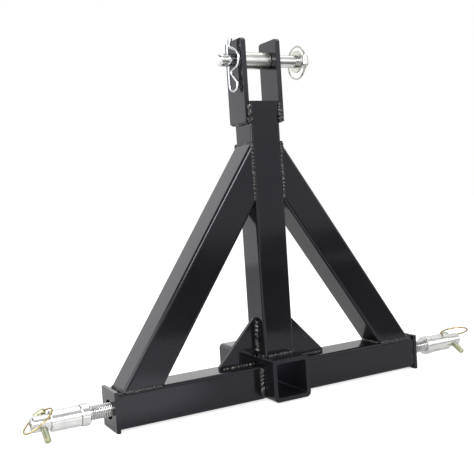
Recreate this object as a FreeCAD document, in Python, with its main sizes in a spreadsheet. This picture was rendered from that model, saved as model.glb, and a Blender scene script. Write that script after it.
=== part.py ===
import FreeCAD, Part
import Sketcher
import math
import os
import re

# Three point receiver hitch. A welded frame of square tube carries a receiver tube below and
# two ears above, a top pin through the ears and a screwed pin at each end of the crossbar.
# Millimetres. The origin is the middle of the hitch pin hole on the receiver's centre line,
# X runs along the crossbar, Y along the receiver towards its drawbar mouth and Z upwards.
# Inside the code the frame's own centre is the middle of the crossbar, and seat() moves it.

sizes = {
    "tubeSide": 50.8,            # square tube of the crossbar, mast and braces, outside
    "tubeWall": 4.8,             # its wall
    "tubeCorner": 4.5,           # its outer corner radius
    "receiverOutside": 63.5,     # receiver tube, outside
    "receiverWall": 6.35,        # its wall
    "receiverCorner": 7.0,       # its outer corner radius
    "receiverBoreCorner": 2.5,   # its inner corner radius
    "receiverFront": 30.0,       # how far it stands out in front of the crossbar
    "receiverBehind": 92.0,      # how far it runs on behind the crossbar
    "pinHoleDiameter": 16.0,     # cross hole for the drawbar's hitch pin
    "pinHoleFromMouth": 63.5,    # from the rear mouth to that hole
    "crossbarLength": 520.0,     # over the ends of the two crossbar tubes
    "endPlateThickness": 6.0,    # plate that closes each end of the crossbar
    "endPlateHeight": 57.0,      # its height
    "endPlateDepth": 56.0,       # its depth
    "endPlateHole": 28.0,        # hole round the stud
    "plateEdge": 0.8,            # rounding of cut plate edges
    "nutAcrossFlats": 30.0,      # weld nut behind each end plate
    "nutThickness": 16.0,        # its thickness
    "topPinHeight": 484.0,       # top pin above the crossbar's centre line
    "mastBelowPin": 63.0,        # from there down to the mast's top
    "braceBelowMast": 61.0,      # from the mast's top down to the outer line of each brace
    "braceFootReach": 252.5,     # outer line of each brace on the crossbar
    "gussetThickness": 6.0,      # plate between mast and crossbar
    "gussetHeight": 70.0,        # up the mast from the crossbar
    "gussetReach": 67.0,         # along the crossbar from the mast
    "gussetNose": 4.0,           # blunt end of both tips
    "earThickness": 8.0,         # top link ears
    "earDepth": 50.0,            # their width front to back
    "earAbovePin": 29.5,         # their top above the top pin
    "earOverlap": 31.0,          # how far they reach down the mast
    "earChamfer": 3.5,           # cut of their top corners
    "topPinDiameter": 19.05,     # top pin
    "topPinLeft": 60.0,          # its reach to the left
    "topPinRight": 95.0,         # its reach to the right
    "topPinDome": 5.0,           # rounding of its left end
    "topPinBevel": 1.2,          # bevel of its right end
    "runClearance": 0.25,        # between a pin and its hole, on the radius
    "seatGap": 0.3,              # between pieces that rest against each other
    "topSleeveDiameter": 25.4,   # sleeve on the top pin, outside
    "sleeveBevel": 0.8,          # bevel of every sleeve's rims
    "hairpinPlace": 42.5,        # hairpin hole, to the left of the middle
    "hairpinWire": 4.0,          # hairpin clip wire
    "hairpinHole": 5.0,          # hole for it
    "hairpinTop": 32.5,          # straight leg's end above the pin's centre line
    "hairpinBottom": 46.5,       # loop's lowest centre line below it
    "hairpinLoop": 16.0,         # across the loop's centre lines
    "hairpinShoulder": 34.5,     # where the loop's outer side ends, below the pin's centre line
    "hairpinBulge": 21.6,        # how far the sprung leg stands out round the pin
    "hairpinCorner": 9.5,        # half the height of that bulge's outermost part
    "hairpinWaist": 2.8,         # where its bends aim beside the straight leg
    "hairpinWaistLow": 18.1,     # the lower waist below the pin's centre line
    "hairpinWaistHigh": 19.4,    # the upper waist above it
    "hairpinFreeEnd": 8.8,       # how far the sprung leg's end leans out again
    "hairpinRoundness": 1.48,    # bulge's bend radius over the height of its corners
    "hairpinTurn": 17.5,         # turn of the clip's plane towards the ear, degrees
    "washerDiameter": 34.0,      # washer on the top pin
    "washerThickness": 3.0,      # its thickness
    "topLinchPlace": 83.5,       # linch hole in the top pin, to the right of the middle
    "topLinchDiameter": 8.0,     # its linch pin
    "topLinchTip": 19.0,         # linch tip beyond the top pin's centre line
    "topHeadDiameter": 10.0,     # its head, a short bar across
    "topHeadWidth": 15.0,        # length of that bar
    "topRingRadius": 25.0,       # its ring's mean radius
    "topRingWire": 2.8,          # its ring's wire
    "studDiameter": 18.4,        # mean diameter of each lower pin's 20 mm screwed stud
    "studExposedLeft": 29.5,     # stud between plate and collar, left
    "studExposedRight": 38.5,    # the same, right
    "studBeyondNut": 6.0,        # stud past the weld nut, inside the tube
    "collarDiameter": 31.0,      # collar of each lower pin
    "collarWidth": 12.0,         # its width
    "collarBevel": 1.2,          # its bevels
    "shankDiameter": 22.2,       # shank of each lower pin
    "shankBeyondLinch": 15.6,    # from its linch hole's centre to its tip
    "shankDome": 4.5,            # rounding of its tip
    "lowerSleeveDiameter": 28.6, # sleeve on each shank, outside
    "lowerSleeveLength": 41.2,   # its length
    "lowerLinchDiameter": 9.0,   # linch pin of each lower pin
    "lowerLinchTip": 33.0,       # linch tip beyond the shank's centre line
    "lowerHeadDiameter": 9.5,    # its head, a short bar across
    "lowerHeadWidth": 17.0,      # length of that bar
    "lowerRingRadius": 23.0,     # its ring's mean radius
    "lowerRingWire": 2.6,        # its ring's wire
    "linchBevel": 1.5,           # bevel of each linch pin's tip
    "ringBend": 3.0,             # bend where a ring turns into its head
    "ringStub": 4.0,             # how deep each ring end sits in the head
    "leftLean": 56.0,            # left linch pin from the vertical, tip forwards, degrees
    "leftSpin": 140.0,           # its turn about itself, degrees
    "leftRingSwing": 30.0,       # its ring from closed, degrees
    "rightLean": 60.0,           # the same three for the right linch pin
    "rightSpin": 20.0,
    "rightRingSwing": -53.0,
}

doc = FreeCAD.newDocument("hitch")
sheet = doc.addObject("Spreadsheet::Sheet", "Sizes")
for row, (alias, number) in enumerate(sizes.items(), 1):
    sheet.set(f"A{row}", alias)
    sheet.set(f"B{row}", str(number))
    sheet.setAlias(f"B{row}", alias)
doc.recompute()

origin = FreeCAD.Vector(0, 0, 0)
axis_x = FreeCAD.Vector(1, 0, 0)
axis_y = FreeCAD.Vector(0, 1, 0)
axis_z = FreeCAD.Vector(0, 0, 1)
alias_words = re.compile(r"\b(" + "|".join(sizes) + r")\b")
parts = []


def bind(thing, name, formula):
    """Ties a property to a formula written with the sheet's names."""
    thing.setExpression(name, alias_words.sub(r"Sizes.\1", formula))


def value(alias):
    """A number as the sheet holds it."""
    return float(sheet.get(alias))


# Places that several pieces share, as formulas of the sheet's names.
level = "0 * tubeSide"
half_tube = "tubeSide / 2"
half_receiver = "receiverOutside / 2"
tube_end = "crossbarLength / 2"
plate_face = "(crossbarLength / 2 + endPlateThickness)"
receiver_rise = "(receiverOutside - tubeSide) / 2"
receiver_top = "(receiverOutside - tubeSide / 2)"
hole_behind = "(tubeSide / 2 + receiverBehind - pinHoleFromMouth)"
brace_run = "(braceFootReach - tubeSide / 2)"
mast_top = "(topPinHeight - mastBelowPin)"
ear_top = "(topPinHeight + earAbovePin)"
brace_top = "(topPinHeight - mastBelowPin - braceBelowMast)"
brace_rise = f"({brace_top} - tubeSide / 2)"
brace_length = f"sqrt({brace_run} ^ 2 + {brace_rise} ^ 2)"


def frame_centre():
    """The crossbar's middle, seen from the origin."""
    back = value("tubeSide") / 2 + value("receiverBehind") - value("pinHoleFromMouth")
    rise = (value("receiverOutside") - value("tubeSide")) / 2
    return FreeCAD.Vector(0, -back, -rise)


def seat(piece, label):
    """Names a piece and moves it from the frame's centre to the origin's frame."""
    piece.Label = label
    bind(piece, "Placement.Base.y", f"-{hole_behind}")
    bind(piece, "Placement.Base.z", f"-{receiver_rise}")
    parts.append(piece)


def place(piece, label, local):
    """Names a piece that has a frame of its own, given from the frame's centre."""
    piece.Label = label
    piece.Placement = FreeCAD.Placement(frame_centre(), FreeCAD.Rotation()) * local
    parts.append(piece)


def new_body(name):
    return doc.addObject("PartDesign::Body", name)


def sketch_on(body, role, offset=None, tilt=None):
    """A sketch on one of the body's own planes, moved along its normal or tilted about X."""
    sketch = body.newObject("Sketcher::SketchObject", body.Name + "_sketch")
    plane = [part for part in body.Origin.OriginFeatures if part.Role == role][0]
    sketch.AttachmentSupport = [(plane, "")]
    sketch.MapMode = "FlatFace"
    if offset is not None:
        bind(sketch, "AttachmentOffset.Base.z", offset)
    if tilt is not None:
        turn = FreeCAD.Rotation(axis_x, tilt)
        sketch.AttachmentOffset = FreeCAD.Placement(origin, turn)
    return sketch


def fix_point(sketch, index, spot, corner):
    """Holds one point of the sketch at a corner given by two formulas."""
    for kind, formula in zip(("DistanceX", "DistanceY"), corner):
        rule = sketch.addConstraint(Sketcher.Constraint(kind, -1, 1, index, spot, 1.0))
        bind(sketch, f"Constraints[{rule}]", formula)


def polygon(sketch, corners):
    """A closed outline through corners, each a pair of formulas."""
    count = len(corners)
    start = sketch.GeometryCount
    turns = [2 * math.pi * step / count for step in range(count)]
    rough = [FreeCAD.Vector(math.cos(turn), math.sin(turn), 0) for turn in turns]
    for step in range(count):
        sketch.addGeometry(Part.LineSegment(rough[step], rough[(step + 1) % count]))
    for step in range(count):
        follower = start + (step + 1) % count
        sketch.addConstraint(Sketcher.Constraint("Coincident", start + step, 2, follower, 1))
    for step, corner in enumerate(corners):
        fix_point(sketch, start + step, 1, corner)


def rectangle(sketch, low, high):
    polygon(sketch, [low, (high[0], low[1]), high, (low[0], high[1])])


def circle(sketch, centre, diameter):
    """A circle; a centre of None is the sketch's own origin."""
    index = sketch.addGeometry(Part.Circle(origin, axis_z, 1.0))
    if centre is None:
        sketch.addConstraint(Sketcher.Constraint("Coincident", index, 3, -1, 1))
    else:
        fix_point(sketch, index, 3, centre)
    rule = sketch.addConstraint(Sketcher.Constraint("Diameter", index, 2.0))
    bind(sketch, f"Constraints[{rule}]", diameter)


def pad(body, sketch, length, symmetric=True, reverse=False):
    feature = body.newObject("PartDesign::Pad", body.Name + "_pad")
    feature.Profile = sketch
    bind(feature, "Length", length)
    feature.SideType = "Symmetric" if symmetric else "One side"
    feature.Reversed = reverse
    doc.recompute()
    return feature


def cut(body, sketch, length=None):
    """Removes the outline from the middle outwards, through everything unless told how far."""
    before = body.Tip.Shape.Volume
    feature = body.newObject("PartDesign::Pocket", body.Name + "_pocket")
    feature.Profile = sketch
    feature.SideType = "Symmetric"
    if length is None:
        feature.Type = "ThroughAll"
    else:
        bind(feature, "Length", length)
    doc.recompute()
    if not feature.Shape.Volume < before:
        raise RuntimeError(f"{body.Name}: a cut removed nothing")
    return feature


def revolve(body, sketch, axis):
    feature = body.newObject("PartDesign::Revolution", body.Name + "_turned")
    feature.Profile = sketch
    feature.ReferenceAxis = (sketch, [axis])
    feature.Angle = 360
    doc.recompute()
    return feature


def edges_along(feature, direction, inside=None):
    """Names of the straight edges along a direction, all or those nearer the Y axis."""
    names = []
    for number, edge in enumerate(feature.Shape.Edges, 1):
        if not isinstance(edge.Curve, Part.Line):
            continue
        if edge.Curve.Direction.cross(direction).Length > 1e-6:
            continue
        middle = edge.CenterOfMass
        if inside is None or abs(middle.x) < inside:
            names.append(f"Edge{number}")
    return names


def rims_at(feature, spots):
    """Names of the full circles that lie at the given places along X with the given diameters."""
    names = []
    for number, edge in enumerate(feature.Shape.Edges, 1):
        curve = edge.Curve
        if not isinstance(curve, Part.Circle):
            continue
        for along, diameter in spots:
            if abs(curve.Center.x - along) < 0.01 and abs(2 * curve.Radius - diameter) < 0.01:
                names.append(f"Edge{number}")
    return names


def dress(body, kind, names, length):
    """Rounds (Fillet) or bevels (Chamfer) the named edges of the body's last feature."""
    base = body.Tip
    feature = body.newObject("PartDesign::" + kind, body.Name + "_" + kind.lower())
    feature.Base = (base, names)
    bind(feature, "Radius" if kind == "Fillet" else "Size", length)
    doc.recompute()
    return feature


def all_edges(feature):
    """Names of every edge of a plate that has no hole yet."""
    return [f"Edge{number}" for number in range(1, len(feature.Shape.Edges) + 1)]


def signed(side, formula):
    return f"{side} * ({formula})"


def tube(name, outline, bore, direction):
    """A mitred square tube: its outline seen from the front, its bore and its long direction."""
    body = new_body(name)
    sketch = sketch_on(body, "XZ_Plane")
    polygon(sketch, outline)
    solid = pad(body, sketch, "tubeSide")
    dress(body, "Fillet", edges_along(solid, direction), "tubeCorner")
    sketch = sketch_on(body, "XZ_Plane")
    polygon(sketch, bore)
    cut(body, sketch, "tubeSide - 2 * tubeWall")
    seat(body, name)


def build_crossbar(name, side):
    """Half of the crossbar, from the receiver's side wall to the end plate."""
    near = signed(side, half_receiver)
    far = signed(side, tube_end)
    outline = [(near, f"-{half_tube}"), (far, f"-{half_tube}"), (far, half_tube), (near, half_tube)]
    near = signed(side, "receiverOutside / 2 - tubeWall")
    far = signed(side, "crossbarLength / 2 + tubeWall")
    top = "(tubeSide / 2 - tubeWall)"
    bore = [(near, f"-{top}"), (far, f"-{top}"), (far, top), (near, top)]
    tube(name, outline, bore, axis_x)


def build_mast():
    """Upright tube on the receiver's top, open above between the ears."""
    left = f"-{half_tube}"
    outline = [(left, receiver_top), (half_tube, receiver_top), (half_tube, mast_top), (left, mast_top)]
    wall = "(tubeSide / 2 - tubeWall)"
    low = "receiverOutside - tubeSide / 2 - tubeWall"
    high = f"{mast_top} + tubeWall"
    bore = [(f"-{wall}", low), (wall, low), (wall, high), (f"-{wall}", high)]
    tube("mast", outline, bore, axis_z)


def build_brace(name, side):
    """Slanted tube, cut upright against the mast and level on the crossbar."""
    upright = f"tubeSide * {brace_length} / {brace_run}"
    level = f"tubeSide * {brace_length} / {brace_rise}"
    outline = [
        (signed(side, half_tube), brace_top),
        (signed(side, "braceFootReach"), half_tube),
        (signed(side, f"braceFootReach - {level}"), half_tube),
        (signed(side, half_tube), f"{brace_top} - {upright}"),
    ]
    past = 0.2
    wall_up = f"tubeWall * {brace_length} / {brace_run}"
    wall_along = f"tubeWall * {brace_length} / {brace_rise}"
    over_x = f"{past} * {brace_run}"
    over_z = f"{past} * {brace_rise}"
    bore = [
        (signed(side, f"tubeSide / 2 - {over_x}"), f"{brace_top} - {wall_up} + {over_z}"),
        (signed(side, f"braceFootReach - {wall_along} + {over_x}"), f"tubeSide / 2 - {over_z}"),
        (signed(side, f"braceFootReach - {level} + {wall_along} + {over_x}"), f"tubeSide / 2 - {over_z}"),
        (signed(side, f"tubeSide / 2 - {over_x}"), f"{brace_top} - {upright} + {wall_up} + {over_z}"),
    ]
    run = side * (value("braceFootReach") - value("tubeSide") / 2)
    rise = value("topPinHeight") - value("mastBelowPin") - value("braceBelowMast")
    rise -= value("tubeSide") / 2
    slope = FreeCAD.Vector(run, 0, -rise)
    tube(name, outline, bore, slope.normalize())


def build_receiver():
    """Square receiver tube, open at both ends, with the hitch pin hole through its sides."""
    body = new_body("receiver_tube")
    front = "-(tubeSide / 2 + receiverFront)"
    back = "(tubeSide / 2 + receiverBehind)"
    sketch = sketch_on(body, "YZ_Plane")
    rectangle(sketch, (front, f"-{half_tube}"), (back, receiver_top))
    solid = pad(body, sketch, "receiverOutside")
    dress(body, "Fillet", edges_along(solid, axis_y), "receiverCorner")
    sketch = sketch_on(body, "YZ_Plane")
    low = f"receiverWall - {half_tube}"
    high = f"{receiver_top} - receiverWall"
    rectangle(sketch, (f"{front} - receiverWall", low), (f"{back} + receiverWall", high))
    solid = cut(body, sketch, "receiverOutside - 2 * receiverWall")
    bore_half = value("receiverOutside") / 2 - value("receiverWall") / 2
    inner = [name for name in edges_along(solid, axis_y, bore_half) if is_bore_corner(solid, name)]
    dress(body, "Fillet", inner, "receiverBoreCorner")
    sketch = sketch_on(body, "YZ_Plane")
    circle(sketch, (hole_behind, receiver_rise), "pinHoleDiameter")
    cut(body, sketch)
    seat(body, "receiver_tube")


def is_bore_corner(feature, name):
    """True for the four long edges where two walls of the square bore meet."""
    middle = feature.Shape.getElement(name).CenterOfMass
    bore_half = value("receiverOutside") / 2 - value("receiverWall")
    return abs(abs(middle.x) - bore_half) < 0.01


def build_end_plate(name, side):
    """Plate on the crossbar's end with a round hole for the stud."""
    body = new_body(name)
    sketch = sketch_on(body, "YZ_Plane", offset=signed(side, tube_end))
    deep = "endPlateDepth / 2"
    tall = "endPlateHeight / 2"
    rectangle(sketch, (f"-{deep}", f"-{tall}"), (deep, tall))
    solid = pad(body, sketch, "endPlateThickness", symmetric=False, reverse=side < 0)
    dress(body, "Fillet", all_edges(solid), "plateEdge")
    sketch = sketch_on(body, "YZ_Plane")
    circle(sketch, None, "endPlateHole")
    cut(body, sketch)
    seat(body, name)


def build_stud_nut(name, side):
    """Six-sided weld nut against the inner face of the end plate."""
    body = new_body(name)
    sketch = sketch_on(body, "YZ_Plane", offset=signed(side, tube_end))
    corners = []
    for step in range(6):
        angle = f"{30 + 60 * step} deg"
        reach = "nutAcrossFlats / sqrt(3)"
        corners.append((f"{reach} * cos({angle})", f"{reach} * sin({angle})"))
    polygon(sketch, corners)
    circle(sketch, None, "studDiameter + 2 * runClearance")
    pad(body, sketch, "nutThickness", symmetric=False, reverse=side > 0)
    seat(body, name)


def build_gusset(name, side):
    """Triangular plate between the mast and the crossbar, notched over the receiver's shoulder."""
    body = new_body(name)
    sketch = sketch_on(body, "XZ_Plane")
    corners = [
        (signed(side, half_tube), receiver_top),
        (signed(side, half_receiver), receiver_top),
        (signed(side, half_receiver), half_tube),
        (signed(side, "tubeSide / 2 + gussetReach"), half_tube),
        (signed(side, "tubeSide / 2 + gussetReach"), "tubeSide / 2 + gussetNose"),
        (signed(side, "tubeSide / 2 + gussetNose"), "tubeSide / 2 + gussetHeight"),
        (signed(side, half_tube), "tubeSide / 2 + gussetHeight"),
    ]
    polygon(sketch, corners)
    pad(body, sketch, "gussetThickness")
    seat(body, name)


def build_ear(name, side):
    """Flat bar on the mast's side with the top pin's hole."""
    body = new_body(name)
    sketch = sketch_on(body, "YZ_Plane", offset=signed(side, half_tube))
    deep = "earDepth / 2"
    low = f"{mast_top} - earOverlap"
    corners = [
        (f"-{deep}", low),
        (deep, low),
        (deep, f"{ear_top} - earChamfer"),
        (f"{deep} - earChamfer", ear_top),
        (f"-({deep} - earChamfer)", ear_top),
        (f"-{deep}", f"{ear_top} - earChamfer"),
    ]
    polygon(sketch, corners)
    solid = pad(body, sketch, "earThickness", symmetric=False, reverse=side < 0)
    dress(body, "Fillet", all_edges(solid), "plateEdge")
    sketch = sketch_on(body, "YZ_Plane")
    circle(sketch, (level, "topPinHeight"), "topPinDiameter + 2 * runClearance")
    cut(body, sketch)
    seat(body, name)


def linch_frame(place_x, height, lean, spin):
    """Where a linch pin crosses its pin: local Z towards the head, local X along the pivot."""
    lean_turn = FreeCAD.Rotation(axis_x, -lean)
    spin_turn = FreeCAD.Rotation(axis_z, spin)
    return FreeCAD.Placement(FreeCAD.Vector(place_x, 0, height), lean_turn * spin_turn)


def build_linch_pin(name, local, diameter, tip, head_diameter, head_width, wire, shaft):
    """Round pin with a bar across its head; the ring's ends sit in that bar."""
    body = new_body(name)
    head_height = f"({shaft} / 2 + seatGap + {head_diameter} / 2)"
    sketch = sketch_on(body, "XZ_Plane")
    radius = f"{diameter} / 2"
    polygon(sketch, [
        (level, f"-{tip}"),
        (f"{radius} - linchBevel", f"-{tip}"),
        (radius, f"-{tip} + linchBevel"),
        (radius, head_height),
        (level, head_height),
    ])
    revolve(body, sketch, "V_Axis")
    sketch = sketch_on(body, "YZ_Plane")
    circle(sketch, (level, head_height), head_diameter)
    solid = pad(body, sketch, head_width)
    half_head = value(head_width) / 2
    rims = rims_at(solid, [(half_head, value(head_diameter)), (-half_head, value(head_diameter))])
    dress(body, "Fillet", rims, "linchBevel")
    sketch = sketch_on(body, "YZ_Plane")
    circle(sketch, (level, head_height), f"{wire} + 2 * runClearance")
    cut(body, sketch)
    place(body, name, local)


def ring_shape(radius, wire, head_width):
    """A round wire ring whose two ends turn inwards into the head, along local X."""
    bend = value("ringBend")
    straight = head_width / 2 + 2 * value("seatGap")
    stub_end = head_width / 2 - value("ringStub")
    depth = bend + math.sqrt((radius - bend) ** 2 - straight ** 2)
    aim = math.atan2(straight, depth - bend)
    joint = FreeCAD.Vector(radius * math.sin(aim), 0, radius * math.cos(aim) - depth)
    bend_middle = FreeCAD.Vector(
        straight + bend * math.sin(aim / 2), 0, bend * math.cos(aim / 2) - bend)
    bottom = FreeCAD.Vector(0, 0, -depth - radius)

    def flip(point):
        return FreeCAD.Vector(-point.x, 0, point.z)

    first = FreeCAD.Vector(stub_end, 0, 0)
    second = FreeCAD.Vector(straight, 0, 0)
    route = Part.Wire([
        Part.LineSegment(first, second).toShape(),
        Part.Arc(second, bend_middle, joint).toShape(),
        Part.Arc(joint, bottom, flip(joint)).toShape(),
        Part.Arc(flip(joint), flip(bend_middle), flip(second)).toShape(),
        Part.LineSegment(flip(second), flip(first)).toShape(),
    ])
    section = Part.Wire([Part.Circle(first, axis_x, wire / 2).toShape()])
    return route.makePipeShell([section], True, False)


def build_ring(name, local, radius, wire, head_width, shaft, head_diameter, swing):
    """The ring of one linch pin, swung from closed about its head."""
    ring = doc.addObject("Part::Feature", name)
    ring.Shape = ring_shape(value(radius), value(wire), value(head_width))
    pivot = value(shaft) / 2 + value("seatGap") + value(head_diameter) / 2
    lift = FreeCAD.Placement(FreeCAD.Vector(0, 0, pivot), FreeCAD.Rotation())
    turn = FreeCAD.Placement(origin, FreeCAD.Rotation(axis_x, swing))
    place(ring, name, local * lift * turn)


def rounded_route(points, radii):
    """Straight runs through points, each inner corner rounded with its own tangent arc."""
    edges = []
    start = points[0]
    for corner, after, radius in zip(points[1:-1], points[2:], radii):
        back = (start - corner).normalize()
        ahead = (after - corner).normalize()
        half = back.getAngle(ahead) / 2
        reach = radius / math.tan(half)
        enter = corner + back * reach
        leave = corner + ahead * reach
        middle = (back + ahead).normalize()
        top = corner + middle * (radius / math.sin(half) - radius)
        edges.append(Part.LineSegment(start, enter).toShape())
        edges.append(Part.Arc(enter, top, leave).toShape())
        start = leave
    edges.append(Part.LineSegment(start, points[-1]).toShape())
    return Part.Wire(edges)


def build_hairpin():
    """Spring clip bent from one wire: a straight leg through the pin and a leg sprung round it."""
    loop = value("hairpinLoop")
    bottom = -value("hairpinBottom")
    bulge = value("hairpinBulge")
    corner = value("hairpinCorner")
    waist = value("hairpinWaist")
    top = value("hairpinTop")
    wire = value("hairpinWire")
    points = [
        FreeCAD.Vector(0, 0, top),
        FreeCAD.Vector(0, 0, bottom),
        FreeCAD.Vector(loop, 0, bottom),
        FreeCAD.Vector(loop, 0, -value("hairpinShoulder")),
        FreeCAD.Vector(waist, 0, -value("hairpinWaistLow")),
        FreeCAD.Vector(bulge, 0, -corner),
        FreeCAD.Vector(bulge, 0, corner),
        FreeCAD.Vector(waist, 0, value("hairpinWaistHigh")),
        FreeCAD.Vector(value("hairpinFreeEnd"), 0, top - wire / 2),
    ]
    loop_bend = 0.49 * loop
    bulge_bend = value("hairpinRoundness") * corner
    radii = [loop_bend, loop_bend, wire, wire, bulge_bend, bulge_bend, wire]
    route = rounded_route(points, radii)
    section = Part.Wire([Part.Circle(points[0], axis_z, wire / 2).toShape()])
    clip = doc.addObject("Part::Feature", "hairpin_clip")
    clip.Shape = route.makePipeShell([section], True, False)
    spot = FreeCAD.Vector(-value("hairpinPlace"), 0, value("topPinHeight"))
    turn = FreeCAD.Rotation(axis_z, value("hairpinTurn") - 90)
    place(clip, "hairpin_clip", FreeCAD.Placement(spot, turn))


def build_ring_piece(name, start, length, outside, inside, height):
    """A sleeve or washer round a pin, from a place along X, with bevelled rims."""
    body = new_body(name)
    sketch = sketch_on(body, "YZ_Plane", offset=start)
    centre = None if height is None else (level, height)
    circle(sketch, centre, outside)
    circle(sketch, centre, inside)
    pad(body, sketch, length, symmetric=False)
    return body


def bevel_rims(body, diameter, bevel):
    """Bevels every outer rim of a sleeve or washer."""
    names = []
    solid = body.Tip
    for number, edge in enumerate(solid.Shape.Edges, 1):
        if isinstance(edge.Curve, Part.Circle) and abs(2 * edge.Curve.Radius - diameter) < 0.01:
            names.append(f"Edge{number}")
    dress(body, "Chamfer", names, bevel)


def build_top_pin():
    """Plain pin through both ears, domed on the left, with a cross hole near each end."""
    body = new_body("top_pin")
    sketch = sketch_on(body, "XZ_Plane")
    top = "topPinHeight + topPinDiameter / 2"
    polygon(sketch, [
        ("-topPinLeft", "topPinHeight"),
        ("topPinRight", "topPinHeight"),
        ("topPinRight", top),
        ("-topPinLeft", top),
    ])
    feature = body.newObject("PartDesign::Revolution", "top_pin_turned")
    feature.Profile = sketch
    feature.ReferenceAxis = (sketch, ["Edge1"])
    feature.Angle = 360
    doc.recompute()
    dress(body, "Fillet", rims_at(feature, [(-value("topPinLeft"), value("topPinDiameter"))]), "topPinDome")
    tip = body.Tip
    dress(body, "Chamfer", rims_at(tip, [(value("topPinRight"), value("topPinDiameter"))]), "topPinBevel")
    sketch = sketch_on(body, "XY_Plane")
    circle(sketch, ("-hairpinPlace", level), "hairpinHole")
    cut(body, sketch)
    sketch = sketch_on(body, "XZ_Plane")
    circle(sketch, ("topLinchPlace", "topPinHeight"), "topLinchDiameter + 2 * runClearance")
    cut(body, sketch)
    seat(body, "top_pin")


def build_lower_pin(name, side, exposed, lean):
    """Screwed stud, collar and plain shank turned from one bar, cross-drilled near the tip."""
    body = new_body(name)
    inner = "crossbarLength / 2 - nutThickness - studBeyondNut"
    collar_in = f"{plate_face} + {exposed}"
    collar_out = f"{collar_in} + collarWidth"
    hole = f"{collar_out} + {linch_from_collar}"
    tip = f"{hole} + shankBeyondLinch"
    stud = "studDiameter / 2"
    collar = "collarDiameter / 2"
    shank = "shankDiameter / 2"
    sketch = sketch_on(body, "XZ_Plane")
    polygon(sketch, [
        (signed(side, inner), level),
        (signed(side, inner), f"{stud} - collarBevel"),
        (signed(side, f"{inner} + collarBevel"), stud),
        (signed(side, collar_in), stud),
        (signed(side, collar_in), f"{collar} - collarBevel"),
        (signed(side, f"{collar_in} + collarBevel"), collar),
        (signed(side, f"{collar_out} - collarBevel"), collar),
        (signed(side, collar_out), f"{collar} - collarBevel"),
        (signed(side, collar_out), shank),
        (signed(side, tip), shank),
        (signed(side, tip), level),
    ])
    solid = revolve(body, sketch, "H_Axis")
    reach = side * (linch_place(exposed) + value("shankBeyondLinch"))
    dress(body, "Fillet", rims_at(solid, [(reach, value("shankDiameter"))]), "shankDome")
    sketch = sketch_on(body, "XY_Plane", tilt=-lean)
    circle(sketch, (signed(side, hole), level), "lowerLinchDiameter + 2 * runClearance")
    cut(body, sketch)
    seat(body, name)


# The linch pin's head clears the sleeve's end whichever way it is turned.
head_reach = "sqrt(lowerHeadWidth ^ 2 + lowerHeadDiameter ^ 2) / 2"
linch_from_collar = f"(lowerSleeveLength + 2 * seatGap + {head_reach})"


def linch_place(exposed):
    """The lower linch hole's distance from the middle of the crossbar."""
    collar_out = value("crossbarLength") / 2 + value("endPlateThickness") + value(exposed)
    collar_out += value("collarWidth")
    head = math.hypot(value("lowerHeadWidth"), value("lowerHeadDiameter")) / 2
    return collar_out + value("lowerSleeveLength") + 2 * value("seatGap") + head


def build_lower_end(word, side):
    """One end's screwed pin, sleeve, linch pin and ring."""
    lean = value(word + "Lean")
    exposed = "studExposed" + word.capitalize()
    build_lower_pin(f"lower_pin_{word}", side, exposed, lean)
    start = f"{plate_face} + {exposed} + collarWidth + seatGap"
    if side < 0:
        start = f"-({start} + lowerSleeveLength)"
    body = build_ring_piece(f"lower_sleeve_{word}", start, "lowerSleeveLength",
                            "lowerSleeveDiameter", "shankDiameter + 2 * runClearance", None)
    bevel_rims(body, value("lowerSleeveDiameter"), "sleeveBevel")
    seat(body, f"lower_sleeve_{word}")
    local = linch_frame(side * linch_place(exposed), 0, lean, value(word + "Spin"))
    build_linch_pin(f"lower_linch_pin_{word}", local, "lowerLinchDiameter", "lowerLinchTip",
                    "lowerHeadDiameter", "lowerHeadWidth", "lowerRingWire", "shankDiameter")
    build_ring(f"lower_linch_ring_{word}", local, "lowerRingRadius", "lowerRingWire",
               "lowerHeadWidth", "shankDiameter", "lowerHeadDiameter", value(word + "RingSwing"))


def build_top_end():
    """The top pin with its sleeve, hairpin, washer, linch pin and ring."""
    build_top_pin()
    build_hairpin()
    bore = "topPinDiameter + 2 * runClearance"
    body = build_ring_piece("top_sleeve", "seatGap - tubeSide / 2", "tubeSide - 2 * seatGap",
                            "topSleeveDiameter", bore, "topPinHeight")
    bevel_rims(body, value("topSleeveDiameter"), "sleeveBevel")
    seat(body, "top_sleeve")
    start = "topLinchPlace - topHeadDiameter / 2 - seatGap - washerThickness"
    body = build_ring_piece("pin_washer", start, "washerThickness", "washerDiameter", bore, "topPinHeight")
    seat(body, "pin_washer")
    local = linch_frame(value("topLinchPlace"), value("topPinHeight"), -90, 90)
    build_linch_pin("top_linch_pin", local, "topLinchDiameter", "topLinchTip",
                    "topHeadDiameter", "topHeadWidth", "topRingWire", "topPinDiameter")
    build_ring("top_linch_ring", local, "topRingRadius", "topRingWire",
               "topHeadWidth", "topPinDiameter", "topHeadDiameter", 0)


build_receiver()
build_mast()
for word, side in (("left", -1), ("right", 1)):
    build_crossbar(f"crossbar_{word}", side)
    build_brace(f"brace_{word}", side)
    build_gusset(f"gusset_{word}", side)
    build_end_plate(f"end_plate_{word}", side)
    build_stud_nut(f"stud_nut_{word}", side)
    build_ear(f"ear_{word}", side)
    build_lower_end(word, side)
build_top_end()
doc.recompute()

for thing in doc.Objects:
    if "Invalid" in thing.State or "Error" in thing.State:
        raise RuntimeError(f"{thing.Label} failed: {thing.State}")
os.makedirs("parts", exist_ok=True)
for piece in parts:
    shape = piece.Shape
    if shape.isNull() or not shape.isValid() or len(shape.Solids) != 1:
        raise RuntimeError(f"{piece.Label} is not one sound solid")
    shape.exportStep(f"parts/{piece.Label}.step")
    print(f"{piece.Label}: {shape.Volume / 1000:.1f} cubic centimetres")
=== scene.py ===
import math

import bpy
import numpy as np
from mathutils import Matrix, Vector


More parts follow.
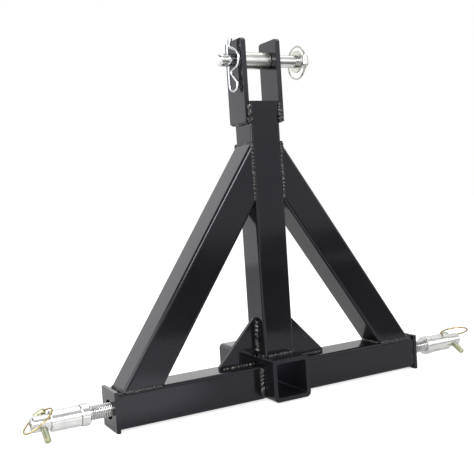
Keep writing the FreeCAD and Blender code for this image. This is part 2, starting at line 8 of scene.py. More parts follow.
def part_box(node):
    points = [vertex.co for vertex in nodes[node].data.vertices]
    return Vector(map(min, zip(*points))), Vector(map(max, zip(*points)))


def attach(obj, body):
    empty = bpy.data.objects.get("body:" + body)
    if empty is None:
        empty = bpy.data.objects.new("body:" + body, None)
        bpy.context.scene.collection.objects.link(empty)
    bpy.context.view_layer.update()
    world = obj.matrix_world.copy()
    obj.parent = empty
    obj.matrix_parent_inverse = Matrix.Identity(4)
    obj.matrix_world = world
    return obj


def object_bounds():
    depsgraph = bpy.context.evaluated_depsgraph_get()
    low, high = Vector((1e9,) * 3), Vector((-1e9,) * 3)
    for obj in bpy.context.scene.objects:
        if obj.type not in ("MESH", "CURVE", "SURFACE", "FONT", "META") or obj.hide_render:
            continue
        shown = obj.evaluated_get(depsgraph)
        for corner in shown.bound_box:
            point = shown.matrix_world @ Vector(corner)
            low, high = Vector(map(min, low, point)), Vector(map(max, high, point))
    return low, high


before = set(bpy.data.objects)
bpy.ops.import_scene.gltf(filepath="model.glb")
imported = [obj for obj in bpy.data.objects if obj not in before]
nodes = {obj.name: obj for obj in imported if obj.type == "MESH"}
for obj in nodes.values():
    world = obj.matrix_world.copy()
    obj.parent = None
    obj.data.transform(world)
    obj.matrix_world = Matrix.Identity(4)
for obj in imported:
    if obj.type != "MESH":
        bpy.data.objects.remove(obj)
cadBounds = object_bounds()
mm = 0.001
floorHeight = cadBounds[0][2]
print("frame loaded:", len(nodes), "CAD nodes")


def gridObject(name, grid):
    # A (rows, columns, 3) grid of points in metres becomes one closed mesh. The columns run full
    # circle, and each end row is closed with a fan to its own middle point.
    rows, columns = grid.shape[:2]
    row, column = np.meshgrid(np.arange(rows - 1), np.arange(columns), indexing="ij")
    after = (column + 1) % columns
    a, b = row * columns + column, row * columns + after
    c, d = (row + 1) * columns + after, (row + 1) * columns + column
    quads = np.stack([a, d, c, b], axis=-1).reshape(-1, 4)
    ring = np.arange(columns)
    nextRing = (ring + 1) % columns
    firstMiddle, lastMiddle = rows * columns, rows * columns + 1
    lastRow = (rows - 1) * columns
    startFan = np.stack([np.full(columns, firstMiddle), ring, nextRing], axis=-1)
    endFan = np.stack([np.full(columns, lastMiddle), lastRow + nextRing, lastRow + ring], axis=-1)
    points = np.vstack([grid.reshape(-1, 3), grid[0].mean(axis=0), grid[-1].mean(axis=0)])
    mesh = bpy.data.meshes.new(name)
    mesh.from_pydata(points.tolist(), [], quads.tolist() + startFan.tolist() + endFan.tolist())
    mesh.polygons.foreach_set("use_smooth", np.ones(len(mesh.polygons), dtype=bool))
    mesh.update()
    thing = bpy.data.objects.new(name, mesh)
    bpy.context.scene.collection.objects.link(thing)
    return thing


def joinPieces(name, pieces):
    # Several grids that belong together become one object at the origin.
    bpy.ops.object.select_all(action="DESELECT")
    for piece in pieces:
        piece.select_set(True)
    bpy.context.view_layer.objects.active = pieces[0]
    bpy.ops.object.join()
    pieces[0].name = name
    return pieces[0]


def newMaterial(name):
    material = bpy.data.materials.new(name)
    material.use_nodes = True
    tree = material.node_tree
    return material, tree, tree.nodes["Principled BSDF"]


def objectCoordinates(tree):
    return tree.nodes.new("ShaderNodeTexCoord").outputs["Object"]


def noiseOf(tree, where, scale, detail):
    noise = tree.nodes.new("ShaderNodeTexNoise")
    noise.inputs["Scale"].default_value = scale
    noise.inputs["Detail"].default_value = detail
    tree.links.new(where, noise.inputs["Vector"])
    return noise.outputs["Fac"]


def rampOf(tree, factor, stops):
    ramp = tree.nodes.new("ShaderNodeValToRGB")
    elements = ramp.color_ramp.elements
    while len(elements) < len(stops):
        elements.new(0.5)
    for element, (place, colour) in zip(elements, stops):
        element.position = place
        element.color = (*colour, 1)
    tree.links.new(factor, ramp.inputs["Fac"])
    return ramp.outputs["Color"]


def rangeOf(tree, factor, low, high, fromLow=0.3, fromHigh=0.7):
    # Goes from low to high while the factor goes from fromLow to fromHigh, and holds beyond both.
    spread = tree.nodes.new("ShaderNodeMapRange")
    spread.inputs["From Min"].default_value = fromLow
    spread.inputs["From Max"].default_value = fromHigh
    spread.inputs["To Min"].default_value = low
    spread.inputs["To Max"].default_value = high
    tree.links.new(factor, spread.inputs["Value"])
    return spread.outputs["Result"]


def mathOf(tree, operation, *sources):
    step = tree.nodes.new("ShaderNodeMath")
    step.operation = operation
    for source, socket in zip(sources, step.inputs):
        tree.links.new(source, socket)
    return step.outputs[0]


def vectorMathOf(tree, operation, source, constant=(0, 0, 0)):
    step = tree.nodes.new("ShaderNodeVectorMath")
    step.operation = operation
    step.inputs[1].default_value = constant
    tree.links.new(source, step.inputs[0])
    return step.outputs["Value" if operation in ("LENGTH", "DISTANCE") else "Vector"]


def bumpOf(tree, shader, height, strength, depth):
    bump = tree.nodes.new("ShaderNodeBump")
    bump.inputs["Strength"].default_value = strength
    bump.inputs["Distance"].default_value = depth
    tree.links.new(height, bump.inputs["Height"])
    tree.links.new(bump.outputs["Normal"], shader.inputs["Normal"])


def keepWhere(tree, shader, socketName, factor, other):
    # The shader's socket keeps what feeds it where the factor is 1, and takes the other value,
    # a number or a colour, where the factor is 0.
    isNumber = isinstance(other, float)
    otherSocket, keptSocket, result = (2, 3, 0) if isNumber else (6, 7, 2)
    blend = tree.nodes.new("ShaderNodeMix")
    blend.data_type = "FLOAT" if isNumber else "RGBA"
    blend.inputs[otherSocket].default_value = other if isNumber else (*other, 1)
    tree.links.new(factor, blend.inputs[0])
    tree.links.new(shader.inputs[socketName].links[0].from_socket, blend.inputs[keptSocket])
    tree.links.new(blend.outputs[result], shader.inputs[socketName])


blackPaint = {
    "deep": (0.0080, 0.0078, 0.0102),   # film over flat steel
    "dusty": (0.0125, 0.0125, 0.0140),  # where it holds a little dust
    "deepTo": 0.35,                     # places on the noise where the one ends and the other starts
    "dustyFrom": 0.70,
    "patches": (9.0, 4.0),              # cells per metre, detail
    "gloss": (0.07, 0.15),              # roughness, least and most
    "reflect": 0.40,
    "sheen": (0.90, 0.885, 1.0),        # its reflections are faintly violet
    "peel": (260.0, 2.0),               # orange peel, cells per metre and detail
    "peelBump": (0.10, 0.12 * mm),      # strength, depth
}


def makeBlackPaint():
    # Thick glossy enamel: near-black, patches of slightly duller gloss, orange peel in the film.
    material, tree, shader = newMaterial("glossBlackEnamel")
    where = objectCoordinates(tree)
    patches = noiseOf(tree, where, *blackPaint["patches"])
    stops = [(blackPaint["deepTo"], blackPaint["deep"]), (blackPaint["dustyFrom"], blackPaint["dusty"])]
    tree.links.new(rampOf(tree, patches, stops), shader.inputs["Base Color"])
    tree.links.new(rangeOf(tree, patches, *blackPaint["gloss"]), shader.inputs["Roughness"])
    shader.inputs["Specular IOR Level"].default_value = blackPaint["reflect"]
    shader.inputs["Specular Tint"].default_value = (*blackPaint["sheen"], 1)
    bumpOf(tree, shader, noiseOf(tree, where, *blackPaint["peel"]), *blackPaint["peelBump"])
    return material


bore = {
    "half": 25.4 * mm,       # half the width of the receiver's square bore
    "fade": 0.2 * mm,        # past the bore's faces, where its dark finish starts to give way to the enamel
    "colour": (0.046, 0.044, 0.053),
    "roughness": 0.5,
}


def makeReceiverPaint(enamel):
    # The enamel outside. Inside the square bore, where the larger of |x| and |z| is no more than
    # half the bore, a dark, dull metallic colour that hardly reflects.
    material = enamel.copy()
    material.name = "enamelWithDarkBore"
    tree = material.node_tree
    shader = tree.nodes["Principled BSDF"]
    parts = tree.nodes.new("ShaderNodeSeparateXYZ")
    tree.links.new(objectCoordinates(tree), parts.inputs[0])
    sides = [mathOf(tree, "ABSOLUTE", parts.outputs[axis]) for axis in ("X", "Z")]
    larger = mathOf(tree, "MAXIMUM", *sides)
    outside = rangeOf(tree, larger, 0.0, 1.0, bore["half"] + bore["fade"], bore["half"] + 2 * bore["fade"])
    tree.links.new(rangeOf(tree, outside, 1.0, 0.0, 0.0, 1.0), shader.inputs["Metallic"])
    keepWhere(tree, shader, "Roughness", outside, bore["roughness"])
    keepWhere(tree, shader, "Base Color", outside, bore["colour"])
    return material


weldPaint = {
    "colour": (0.006, 0.006, 0.007),
    "paintedGlint": (0.16, 0.16, 0.17),     # painted glints: pale specks that stand in for glints on the lumps
    "paintedGlints": (230.0, 2.0),          # cells per metre, detail
    "paintedGlintFrom": 0.66,
    "paintedGlintFull": 0.74,
    "gloss": (0.05, 0.45),
    "glossPatches": (75.0, 2.0),     # cells per metre, detail
    "glossFrom": 0.43,
    "glossTo": 0.55,
    "reflect": 0.50,
    "coat": 0.15,
    "grain": (420.0, 3.0),           # cells per metre, detail
    "grainBump": (0.35, 0.5 * mm),   # strength, depth
}


def makeWeldPaint():
    # The same enamel over weld metal: pooled, in patches shinier, with pale specks of painted glint.
    material, tree, shader = newMaterial("enamelOnWeld")
    where = objectCoordinates(tree)
    # Where the noise runs high the colour turns pale: painted glints.
    stops = [(weldPaint["paintedGlintFrom"], weldPaint["colour"]), (weldPaint["paintedGlintFull"], weldPaint["paintedGlint"])]
    paintedGlints = rampOf(tree, noiseOf(tree, where, *weldPaint["paintedGlints"]), stops)
    tree.links.new(paintedGlints, shader.inputs["Base Color"])
    shader.inputs["Specular IOR Level"].default_value = weldPaint["reflect"]
    shader.inputs["Coat Weight"].default_value = weldPaint["coat"]
    shine = noiseOf(tree, where, *weldPaint["glossPatches"])
    roughness = rangeOf(tree, shine, *weldPaint["gloss"], weldPaint["glossFrom"], weldPaint["glossTo"])
    tree.links.new(roughness, shader.inputs["Roughness"])
    bumpOf(tree, shader, noiseOf(tree, where, *weldPaint["grain"]), *weldPaint["grainBump"])
    return material


plate = {
    "clouds": (55.0, 5.0),           # patches of the plate's colours, cells per metre and detail
    "grain": (700.0, 3.0),           # fine noise in the gloss, the same
    "grainBump": (0.12, 0.10 * mm),  # strength, depth
    "lineBump": (0.10, 0.08 * mm),
    "lineDistortion": 1.5,
    "lineDetail": 2.0,
}
brightZinc = {
    "stops": [(0.36, (0.68, 0.69, 0.68)), (0.62, (0.80, 0.80, 0.79))],   # place on the noise, colour
    "gloss": (0.12, 0.22),           # roughness, least and most
    "rim": 0.62,                     # how much it still reflects at a grazing angle
    "turnedLines": 420.0,            # scale of the marks a lathe leaves across X, 0 for none
}
wireZinc = {
    "stops": [(0.36, (0.43, 0.45, 0.48)), (0.62, (0.60, 0.62, 0.65))],
    "gloss": (0.10, 0.20),
    "rim": 0.42,
    "turnedLines": 0.0,
}
ringZinc = {
    "stops": [(0.36, (0.44, 0.45, 0.40)), (0.62, (0.60, 0.61, 0.56))],
    "gloss": (0.12, 0.22),
    "rim": 0.45,
    "turnedLines": 0.0,
}
satinZinc = {
    "stops": [(0.36, (0.50, 0.51, 0.465)), (0.62, (0.62, 0.63, 0.585))],
    "gloss": (0.22, 0.34),
    "rim": 0.5,
    "turnedLines": 0.0,
}
brushedZinc = {
    "stops": [(0.36, (0.64, 0.64, 0.60)), (0.62, (0.76, 0.76, 0.72))],
    "gloss": (0.27, 0.36),
    "rim": 0.62,
    "turnedLines": 420.0,
}
oliveZinc = {
    "stops": [(0.34, (0.36, 0.41, 0.36)), (0.48, (0.42, 0.43, 0.27)), (0.64, (0.58, 0.575, 0.39))],
    "gloss": (0.30, 0.44),
    "rim": 0.7,
    "turnedLines": 0.0,
}
copperWire = {
    "stops": [(0.34, (0.40, 0.39, 0.20)), (0.48, (0.44, 0.30, 0.15)), (0.64, (0.50, 0.41, 0.22))],
    "gloss": (0.20, 0.32),
    "rim": 0.7,
    "turnedLines": 0.0,
}


def makePlated(name, stops, gloss, rim, turnedLines):
    # Zinc plate on steel: clouds of close colours, fine noise in the gloss, and either faint
    # turning marks across X or a fine grain in the surface.
    material, tree, shader = newMaterial(name)
    where = objectCoordinates(tree)
    clouds = noiseOf(tree, where, *plate["clouds"])
    tree.links.new(rampOf(tree, clouds, stops), shader.inputs["Base Color"])
    shader.inputs["Metallic"].default_value = 1.0
    shader.inputs["Specular Tint"].default_value = (rim, rim, rim, 1)
    grain = noiseOf(tree, where, *plate["grain"])
    tree.links.new(rangeOf(tree, grain, *gloss), shader.inputs["Roughness"])
    if turnedLines:
        wave = tree.nodes.new("ShaderNodeTexWave")
        wave.bands_direction = "X"
        wave.inputs["Scale"].default_value = turnedLines
        wave.inputs["Distortion"].default_value = plate["lineDistortion"]
        wave.inputs["Detail"].default_value = plate["lineDetail"]
        tree.links.new(where, wave.inputs["Vector"])
        bumpOf(tree, shader, wave.outputs["Fac"], *plate["lineBump"])
    else:
        bumpOf(tree, shader, grain, *plate["grainBump"])
    return material


enamel = makeBlackPaint()
receiverEnamel = makeReceiverPaint(enamel)
weldEnamel = makeWeldPaint()
zinc = makePlated("brightZincPlate", **brightZinc)
wire = makePlated("zincSpringWire", **wireZinc)
ringWire = makePlated("zincRingWire", **ringZinc)
satin = makePlated("satinZincPlate", **satinZinc)
brushed = makePlated("brushedZincPlate", **brushedZinc)
olive = makePlated("oliveZincPlate", **oliveZinc)
copper = makePlated("yellowedRingWire", **copperWire)

finishOf = {
    "receiver_tube": receiverEnamel,
    "mast": enamel,
    "top_pin": zinc,
    "top_sleeve": brushed,
    "pin_washer": satin,
    "hairpin_clip": wire,
    "top_linch_pin": satin,
    "top_linch_ring": ringWire,
}
for word in ("left", "right"):
    for name in ("crossbar", "brace", "gusset", "end_plate", "stud_nut", "ear"):
        finishOf[f"{name}_{word}"] = enamel
    for name in ("lower_pin", "lower_sleeve"):
        finishOf[f"{name}_{word}"] = zinc
    finishOf[f"lower_linch_pin_{word}"] = olive
    finishOf[f"lower_linch_ring_{word}"] = copper
for name, finish in finishOf.items():
    nodes[name].data.materials.clear()
    nodes[name].data.materials.append(finish)
print("finishes on:", len(finishOf), "CAD nodes")


weld = {
    "radius": 3.3 * mm,      # half the width of a bead of size 1
    "pitch": 6.2 * mm,       # one lump of it
    "lump": 0.46,            # share of the radius a lump rises
    "lumpRound": 0.96,       # 1 would bring the valleys between the lumps down to a crease
    "lumpMean": 0.75,        # taken off a lump's height, so that the lumps leave the width as it is
    "wander": 0.11,          # share of the radius the width wanders
    "wanderWave": 4.1 * mm,  # run for each radian of its shortest wave
    "stray": 0.45,           # how unevenly the lumps follow one another, in pitches
    "strayWaves": (1.9, 0.8),     # run for each radian of its long and its short wave, in pitches
    "strayShort": 0.6,       # height of the short wave against the long one
    "skew": 0.35,            # how far each lump bows back, in pitches
    "drift": 0.18,           # share of the radius the bead's middle drifts aside
    "driftWave": 9 * mm,     # run for each radian of it
    "endTaper": 1.1,         # length of the rounded ends, in radii
    "endTip": 0.02,          # share of the radius left at the very ends
    "samplesAPitch": 10,
    "fewestRows": 12,
    "around": 18,
    "earStretch": 1.8,       # the lumps along the ears are that much longer
}


def beadGrid(start, end, size, seed, stretch):
    # Round bar from start to end. Its radius is the bead's radius, times a rounded taper at both
    # ends, times a row of half-round lumps that bow back and stray, and a slow wander of the width.
    # Its middle line drifts a little to the side.
    run = end - start
    length = np.linalg.norm(run)
    along = run / length
    isUpright = abs(along[2]) > 0.9
    aside = np.cross(along, [1.0, 0.0, 0.0] if isUpright else [0.0, 0.0, 1.0])
    aside /= np.linalg.norm(aside)
    up = np.cross(along, aside)
    radius = weld["radius"] * size
    pitch = weld["pitch"] * math.sqrt(size) * stretch
    rows = max(weld["fewestRows"], int(length / pitch * weld["samplesAPitch"] * stretch))
    s = np.linspace(0.0, 1.0, rows)[:, None] * length
    turn = np.linspace(0.0, 2 * np.pi, weld["around"], endpoint=False)[None, :]
    phases = np.random.default_rng(seed).uniform(0, 2 * np.pi, 6)
    wander = sum(np.sin(s / (k * weld["wanderWave"]) + phases[k - 1]) / k for k in (1, 2, 3))
    longWave, shortWave = weld["strayWaves"]
    stray = np.sin(s / (longWave * pitch) + phases[3])
    stray = stray + weld["strayShort"] * np.sin(s / (shortWave * pitch) + phases[4])
    beat = s / pitch + weld["skew"] * np.sin(turn + phases[5]) ** 2 + weld["stray"] * stray
    lump = np.sqrt(1 - weld["lumpRound"] * (2 * (beat - np.floor(beat)) - 1) ** 2)
    edge = np.minimum(np.minimum(s, length - s) / (radius * weld["endTaper"]), 1.0)
    taper = np.sqrt(np.maximum(1 - (1 - edge) ** 2, weld["endTip"] ** 2))
    swell = 1 + weld["lump"] * (lump - weld["lumpMean"]) + weld["wander"] * wander
    reach = radius * taper * swell
    drift = radius * weld["drift"] * np.sin(s / weld["driftWave"] + phases[0])
    grid = start + along * s[..., None]
    grid = grid + (reach * np.cos(turn) + drift)[..., None] * aside
    grid = grid + (reach * np.sin(turn))[..., None] * up
    return grid


def weldSeam(name, runs, stretch):
    pieces = []
    for number, (start, end, size) in enumerate(runs):
        seed = sum(ord(letter) for letter in name) + number
        pieces.append(gridObject(f"{name}{number}", beadGrid(start, end, size, seed, stretch)))
    bead = joinPieces(name, pieces)
    bead.data.materials.clear()
    bead.data.materials.append(weldEnamel)
    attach(bead, "frame")


# Each kind of bead: its size, and how far it stops short of its corner's two ends; below 0 it
# runs past them.
beadKinds = {
    "braceFace": (0.85, 3 * mm, -1 * mm),
    "braceTop": (0.60, 4 * mm, 4 * mm),
    "braceRoot": (0.80, 4 * mm, 4 * mm),
    "footFace": (0.90, 2 * mm, 2 * mm),
    "footAcross": (0.95, 4 * mm, 4 * mm),
    "earFace": (1.10, 6 * mm, 1 * mm),
    "earTip": (1.75, -2 * mm, 0 * mm),
    "earUnder": (0.80, 5 * mm, 5 * mm),
    "gussetUp": (1.50, 2 * mm, 2 * mm),
    "gussetAlong": (1.00, 1 * mm, 3 * mm),
    "receiverUp": (1.45, 2 * mm, 1 * mm),
    "receiverFrontHalf": (1.15, 3 * mm, 6 * mm),
    "receiverBackHalf": (1.15, 6 * mm, 3 * mm),
    "receiverAcross": (1.00, 3 * mm, 3 * mm),
    "plateUp": (0.42, 4 * mm, 4 * mm),
    "plateAcross": (0.45, 4 * mm, 4 * mm),
}
# How far the middle line of a bead lies from its corner.
beadPlaces = {
    "braceSunk": 1.2 * mm,       # behind the faces of mast, brace and crossbar
    "braceTopDown": 1.5 * mm,
    "braceRootUp": 1.0 * mm,
    "footIn": 1.0 * mm,
    "earOut": 0.5 * mm,
    "earTipOut": 1.0 * mm,
    "earTipLength": 9.0 * mm,    # up from the ear's lower edge
    "earUnderOut": 2.0 * mm,
    "receiverOut": 1.6 * mm,
    "plateIn": 0.5 * mm,
    "plateSunk": 0.6 * mm,
}

low = {name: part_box(name)[0] for name in nodes}
high = {name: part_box(name)[1] for name in nodes}
front, back = low["mast"].y, high["mast"].y
centre = (front + back) / 2
barTop, barLow = high["crossbar_left"].z, low["crossbar_left"].z
mastSide, mastTop = high["mast"].x, high["mast"].z
receiverSide, receiverTop = high["receiver_tube"].x, high["receiver_tube"].z
braceTop, braceFoot = high["brace_right"].z, high["brace_right"].x
braceRun, braceRise = braceFoot - mastSide, braceTop - barTop
braceLength = math.hypot(braceRun, braceRise)
braceRoot = braceTop - (back - front) * braceLength / braceRun    # where its lower face meets the mast
braceHeel = braceFoot - (back - front) * braceLength / braceRise  # where it meets the crossbar
gussetTop, gussetFoot = high["gusset_right"].z, high["gusset_right"].x
gussetHalf = (high["gusset_right"].y - low["gusset_right"].y) / 2
earLow = low["ear_right"].z
plateInside = low["end_plate_right"].x

beadRuns = {
    "weldsBraceToMast": [],
    "weldsBraceToCrossbar": [],
    "weldsEars": [],
    "weldsGussets": [],
    "weldsReceiver": [],
    "weldsEndPlates": [],
}


def layBead(piece, kind, start, end):
    # One bead of a piece, along the corner from start to end, cut short as its kind says.
    size, startShort, endShort = beadKinds[kind]
    start, end = np.array(start), np.array(end)
    along = (end - start) / np.linalg.norm(end - start)
    beadRuns[piece].append((start + along * startShort, end - along * endShort, size))


def acrossBead(piece, kind, x, z):
    # A bead from the front face to the back face.
    layBead(piece, kind, (x, front, z), (x, back, z))


for side in (-1, 1):
    mastX = side * mastSide
    earX = side * (mastSide + beadPlaces["earOut"])
    receiverX = side * (receiverSide + beadPlaces["receiverOut"])
    plateX = side * (plateInside - beadPlaces["plateIn"])
    for face, out in ((front, -1), (back, 1)):
        y = face - out * beadPlaces["braceSunk"]
        layBead("weldsBraceToMast", "braceFace", (mastX, y, braceRoot), (mastX, y, braceTop))
        layBead("weldsBraceToCrossbar", "footFace",
                (side * braceHeel, y, barTop), (side * braceFoot, y, barTop))
        layBead("weldsEars", "earFace", (earX, face, earLow), (earX, face, mastTop))
        y = face + out * beadPlaces["earTipOut"]
        tipTop = earLow + beadPlaces["earTipLength"]
        layBead("weldsEars", "earTip", (earX, y, earLow), (earX, y, tipTop))
        layBead("weldsReceiver", "receiverUp", (receiverX, face, barLow), (receiverX, face, barTop))
        y = face - out * beadPlaces["plateSunk"]
        layBead("weldsEndPlates", "plateUp", (plateX, y, barLow), (plateX, y, barTop))
    acrossBead("weldsBraceToMast", "braceTop", mastX, braceTop - beadPlaces["braceTopDown"])
    acrossBead("weldsBraceToMast", "braceRoot", mastX, braceRoot + beadPlaces["braceRootUp"])
    acrossBead("weldsBraceToCrossbar", "footAcross", side * (braceFoot - beadPlaces["footIn"]), barTop)
    acrossBead("weldsBraceToCrossbar", "footAcross", side * (braceHeel + beadPlaces["footIn"]), barTop)
    for y in (centre - gussetHalf, centre + gussetHalf):
        layBead("weldsGussets", "gussetUp", (mastX, y, receiverTop), (mastX, y, gussetTop))
        layBead("weldsGussets", "gussetAlong",
                (side * receiverSide, y, barTop), (side * gussetFoot, y, barTop))
    acrossBead("weldsEars", "earUnder", side * (mastSide + beadPlaces["earUnderOut"]), earLow)
    acrossBead("weldsEndPlates", "plateAcross", plateX, barTop)
    acrossBead("weldsEndPlates", "plateAcross", plateX, barLow)
    middle = (mastX, centre, receiverTop)
    layBead("weldsReceiver", "receiverFrontHalf", (mastX, front, receiverTop), middle)
    layBead("weldsReceiver", "receiverBackHalf", middle, (mastX, back, receiverTop))
for face in (front, back):
    layBead("weldsReceiver", "receiverAcross", (-mastSide, face, receiverTop), (mastSide, face, receiverTop))

for name, runs in beadRuns.items():
    weldSeam(name, runs, weld["earStretch"] if name == "weldsEars" else 1.0)
print("weld beads laid:", sum(map(len, beadRuns.values())))


thread = {
    "crest": 10.1 * mm,      # radius over the thread
    "root": 8.95 * mm,       # radius, inside the plain stud
    "stud": 9.2 * mm,        # radius of the plain stud, the floor of the groove
    "pitch": 2.5 * mm,
    "flank": 1.25,           # slope of the flanks: above 1 it leaves flats on crest and root
    "samplesAPitch": 10,
    "around": 72,
    "buried": 1.0 * mm,      # from the pin's inner end to the first turn
    "runOut": 0.8 * mm,      # plain length before the collar
    "collarWidth": 12.0 * mm,
    "sleeveGap": 0.3 * mm,   # between the collar and the sleeve
}
studHeight = (barTop + barLow) / 2


def threadGrid(side, inner, collar):
    # Helical ridge: the radius goes from root to crest as a flattened triangle wave of the distance
    # along X less the pitch times the turn, and sinks to the root over the last pitch at both ends.
    length = collar - inner - thread["runOut"]
    rows = int(length / thread["pitch"] * thread["samplesAPitch"])
    s = np.linspace(0.0, length, rows)[:, None]
    turn = np.linspace(0.0, 2 * np.pi, thread["around"], endpoint=False)[None, :]
    beat = s / thread["pitch"] - turn / (2 * np.pi)
    wave = 1 - 2 * np.abs(beat - np.floor(beat) - 0.5)
    wave = np.clip(wave * thread["flank"] - (thread["flank"] - 1) / 2, 0.0, 1.0)
    fade = np.clip(np.minimum(s, length - s) / thread["pitch"], 0.0, 1.0)
    radius = thread["root"] + (thread["crest"] - thread["root"]) * wave * fade
    x = side * (inner + s) + 0 * turn
    y = centre + radius * np.cos(turn)
    z = studHeight + side * radius * np.sin(turn)
    return np.stack([x, y, z], axis=-1)


# Painted shade on the floor of the thread's groove: its grey, and where it fades out.
paintedGrooveShade = {
    "colour": (0.36, 0.36, 0.36),
    "above": (0.05 * mm, 0.45 * mm),    # over the floor of the groove, where it thins and is gone
    "shadeFadeFromCollar": (3.5 * mm, 2.0 * mm),      # from the collar, the same
}


def makeThreadPlate(word, collar):
    # Bright zinc, with painted shade, dark grey, on the floor of the groove that fades out with the distance
    # from the stud's axis. Close to the collar and past it, where |x| is larger, there is none.
    material = zinc.copy()
    material.name = f"{word}GrooveShadedThreadPlate"
    tree = material.node_tree
    where = objectCoordinates(tree)
    fromAxis = vectorMathOf(tree, "SUBTRACT", where, (0, centre, studHeight))
    distance = vectorMathOf(tree, "LENGTH", vectorMathOf(tree, "MULTIPLY", fromAxis, (0, 1, 1)))
    thins, gone = (thread["stud"] + above for above in paintedGrooveShade["above"])
    outOfGroove = rangeOf(tree, distance, 0.0, 1.0, thins, gone)
    parts = tree.nodes.new("ShaderNodeSeparateXYZ")
    tree.links.new(where, parts.inputs[0])
    thins, gone = (collar - shadeFadeFromCollar for shadeFadeFromCollar in paintedGrooveShade["shadeFadeFromCollar"])
    nearCollar = rangeOf(tree, mathOf(tree, "ABSOLUTE", parts.outputs["X"]), 0.0, 1.0, thins, gone)
    unshaded = mathOf(tree, "MAXIMUM", outOfGroove, nearCollar)
    # Painted shade: the floor of the groove takes the dark grey.
    keepWhere(tree, tree.nodes["Principled BSDF"], "Base Color", unshaded, paintedGrooveShade["colour"])
    return material


for word, side in (("left", -1), ("right", 1)):
    pinLow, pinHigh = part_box(f"lower_pin_{word}")
    sleeveLow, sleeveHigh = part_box(f"lower_sleeve_{word}")
    inner = pinLow.x if side > 0 else -pinHigh.x
    sleeveStart = sleeveLow.x if side > 0 else -sleeveHigh.x
    collar = sleeveStart - thread["sleeveGap"] - thread["collarWidth"]
    threadPlate = makeThreadPlate(word, collar)
    nodes[f"lower_pin_{word}"].data.materials.clear()
    nodes[f"lower_pin_{word}"].data.materials.append(threadPlate)
    coil = gridObject(f"{word}StudThread", threadGrid(side, inner + thread["buried"], collar))
    coil.data.materials.append(threadPlate)
    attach(coil, f"pin_{word}")
print("threads cut")


paper = {
    "size": 14.0,
    "below": 0.2 * mm,          # under the part's lowest point
    "colour": (0.82, 0.82, 0.82),
    "shown": 0.78,              # extra light for the camera, so that it meets the backdrop
    "reflected": 0.32,          # extra light for reflections
    "pool": 1.05,               # the same in a pool of light in front of the part's left end
    "poolMiddle": (-0.19, -0.26, 0.0),
    "poolRadius": (0.10, 0.16),     # full up to the first, gone at the second
}


def makeFloor():
    bpy.ops.mesh.primitive_plane_add(size=paper["size"])
    floor = bpy.context.object
    floor.name = "paleFloor"
    floor.data.transform(Matrix.Translation((0, 0, floorHeight - paper["below"])))
    material = bpy.data.materials.new("whitePaper")
    material.use_nodes = True
    tree = material.node_tree
    tree.nodes.clear()
    output = tree.nodes.new("ShaderNodeOutputMaterial")
    surface = tree.nodes.new("ShaderNodeBsdfDiffuse")
    surface.inputs["Color"].default_value = (*paper["colour"], 1)
    glow = tree.nodes.new("ShaderNodeEmission")
    rays = tree.nodes.new("ShaderNodeLightPath")
    fromPool = vectorMathOf(tree, "DISTANCE", objectCoordinates(tree), paper["poolMiddle"])
    reflected = rangeOf(tree, fromPool, paper["pool"], paper["reflected"], *paper["poolRadius"])
    reflected = mathOf(tree, "MULTIPLY", rays.outputs["Is Glossy Ray"], reflected)
    shown = rangeOf(tree, rays.outputs["Is Camera Ray"], 0.0, paper["shown"], 0.0, 1.0)
    tree.links.new(mathOf(tree, "ADD", shown, reflected), glow.inputs["Strength"])
    add = tree.nodes.new("ShaderNodeAddShader")
    tree.links.new(surface.outputs[0], add.inputs[0])
    tree.links.new(glow.outputs[0], add.inputs[1])
    tree.links.new(add.outputs[0], output.inputs["Surface"])
    floor.data.materials.append(material)


room = {
    "lights": 0.35,         # the world as a soft light on the part
    "shown": 1.0,           # as the camera, reflections and glass see it
}


def makeWorld():
    world = bpy.data.worlds.new("whiteStudio")
    bpy.context.scene.world = world
    world.use_nodes = True
    tree = world.node_tree
    rays = tree.nodes.new("ShaderNodeLightPath")
    seen = rays.outputs["Is Camera Ray"]
    for kind in ("Is Glossy Ray", "Is Transmission Ray"):
        seen = mathOf(tree, "MAXIMUM", seen, rays.outputs[kind])
    background = tree.nodes["Background"]
    background.inputs["Color"].default_value = (1, 1, 1, 1)
    strength = rangeOf(tree, seen, room["lights"], room["shown"], 0.0, 1.0)
    tree.links.new(strength, background.inputs["Strength"])


# Plain cards: place, what they face, size, brightness, degrees turned in their own plane.
cards = {
    "wallFrontRight": ((1.35, -1.9, 0.38), (1.35, 0.0, 0.38), (2.2, 0.6), 0.85, 0),
    "wallFrontRightHigh": ((1.35, -1.9, 1.09), (1.35, 0.0, 1.09), (2.0, 0.82), 1.6, 0),
    "skirting": ((1.0, -1.9, 0.02), (1.0, 0.0, 0.02), (3.2, 0.12), 0.25, 0),
    "wallFrontLeft": ((-0.05, -1.9, 0.4), (-0.05, 0.0, 0.4), (0.8, 0.7), 1.45, 0),
    "ceilingFront": ((0.5, -1.75, 2.0), (0.5, -1.75, 0.0), (4.4, 2.4), 0.62, 0),
    "ceilingLeft": ((-1.9, 0.2, 2.0), (-1.9, 0.2, 0.0), (1.9, 3.2), 0.2, 0),
    "tableEdge": ((0.74, -1.09, floorHeight + 2 * mm), (0.74, -1.09, 1.0), (4.4, 1.5), 0.22, 36),
    "backdropLeft": ((-1.6, 1.6, 0.7), (-1.6, 0.0, 0.7), (3.2, 1.45), 1.45, 0),
    "backdropRight": ((1.2, 1.6, 0.7), (1.2, 0.0, 0.7), (2.4, 1.45), 1.35, 0),
    "backdropShade": ((1.6, 1.55, 0.42), (1.6, 0.0, 0.42), (1.2, 0.45), 0.9, 0),
    "floorShade": ((0.56, -0.50, floorHeight + 1 * mm), (0.56, -0.50, 1.0), (0.34, 0.36), 0.12, 0),
    "stripFrontLeft": ((-0.49, -2.12, 1.27), (0.27, -0.25, 0.2), (1.5, 0.3), 18, 0),
}


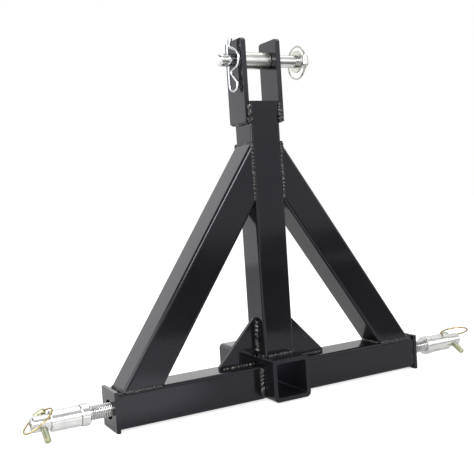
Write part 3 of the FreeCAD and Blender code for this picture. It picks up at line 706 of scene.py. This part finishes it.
def studioCard(name, place, aim, size, shows, turned):
    # A plain card of one grey that only reflections see: what the walls, the ceiling and the edge
    # of the table are to the bare metal and the glossy paint.
    bpy.ops.mesh.primitive_plane_add(size=1.0)
    card = bpy.context.object
    card.name = name
    turn = (Vector(aim) - Vector(place)).to_track_quat("Z", "Y").to_matrix().to_4x4()
    turn = turn @ Matrix.Rotation(math.radians(turned), 4, "Z")
    card.data.transform(Matrix.Translation(place) @ turn @ Matrix.Diagonal((*size, 1, 1)))
    material = bpy.data.materials.new(name)
    material.use_nodes = True
    tree = material.node_tree
    tree.nodes.clear()
    grey = tree.nodes.new("ShaderNodeEmission")
    grey.inputs["Strength"].default_value = shows
    output = tree.nodes.new("ShaderNodeOutputMaterial")
    tree.links.new(grey.outputs[0], output.inputs["Surface"])
    card.data.materials.append(material)
    card.visible_camera = False
    card.visible_diffuse = False
    card.visible_shadow = False


# Area lamps: place, what they face, size, watts, the direction that their second side follows.
lamps = {
    "softFromLeft": ((-2.5, -0.4, 1.0), (0, 0, 0.2), (1.6, 1.6), 38, (0, 0, 1)),
    "softFromFrontLeft": ((-0.81, -2.0, 1.45), (-0.15, -0.08, 0.2), (0.4, 0.7), 11, (0.6, 0, 0.8)),
    "fillFromAbove": ((0.4, 0.4, 2.6), (0, 0, 0.1), (2.0, 2.0), 13, (0, 0, 1)),
    "fillFromRight": ((1.9, -1.6, 0.8), (0, 0, 0.2), (1.2, 1.2), 3, (0, 0, 1)),
}


def softLamp(name, place, aim, size, power, along):
    data = bpy.data.lights.new(name, "AREA")
    data.shape = "RECTANGLE"
    data.size, data.size_y = size
    data.energy = power
    lamp = bpy.data.objects.new(name, data)
    away = (Vector(place) - Vector(aim)).normalized()
    side = Vector(along)
    side = (side - away * side.dot(away)).normalized()
    turn = Matrix((side.cross(away), side, away)).transposed().to_4x4()
    lamp.matrix_world = Matrix.Translation(place) @ turn
    bpy.context.scene.collection.objects.link(lamp)


view = {
    "place": (-0.58305, -1.05571, 0.28647),
    "yaw": 28.129,      # degrees to the right of +Y
    "pitch": -3.626,    # degrees above level
    "roll": -3.79,      # degrees, the right-hand side dips
    "focalPixels": 756.8,
    "imagePixels": 474.0,
    "sensor": 36.0,     # millimetres
}


def makeCamera():
    data = bpy.data.cameras.new("photoView")
    data.sensor_width = view["sensor"]
    data.lens = view["focalPixels"] / view["imagePixels"] * view["sensor"]
    camera = bpy.data.objects.new("photoView", data)
    turn = Matrix.Rotation(math.radians(-view["yaw"]), 4, "Z")
    turn = turn @ Matrix.Rotation(math.radians(90 + view["pitch"]), 4, "X")
    turn = turn @ Matrix.Rotation(math.radians(view["roll"]), 4, "Z")
    camera.matrix_world = Matrix.Translation(view["place"]) @ turn
    bpy.context.scene.collection.objects.link(camera)
    bpy.context.scene.camera = camera


makeFloor()
makeWorld()
for name, card in cards.items():
    studioCard(name, *card)
for name, lamp in lamps.items():
    softLamp(name, *lamp)
makeCamera()
bpy.context.scene.view_settings.view_transform = "Standard"
print("studio ready")
